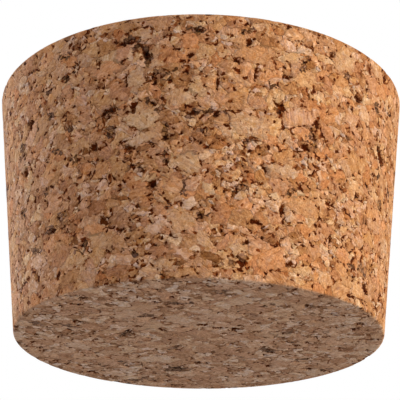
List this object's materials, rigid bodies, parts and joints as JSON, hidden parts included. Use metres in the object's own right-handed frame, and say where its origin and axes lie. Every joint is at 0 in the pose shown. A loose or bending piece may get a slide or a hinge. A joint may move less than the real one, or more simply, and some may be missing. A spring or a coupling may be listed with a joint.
{
  "type": "tapered cork stopper",
  "caption": "Wide tapered stopper of pressed cork granules that wedges into the mouth of a jar or bottle.",
  "frame": {"origin": "centre of the small end face", "axes": "+Z along the stopper's axis, from the small end to the large end"},
  "size_m": [0.0748, 0.0748, 0.045],
  "materials": {
    "pressed_cork": "matt cut face of pressed cork granules, tan to red-brown, with dark gaps between them"
  },
  "bodies": {
    "root": {"stopper": "pressed_cork"}
  },
  "joints": []
}
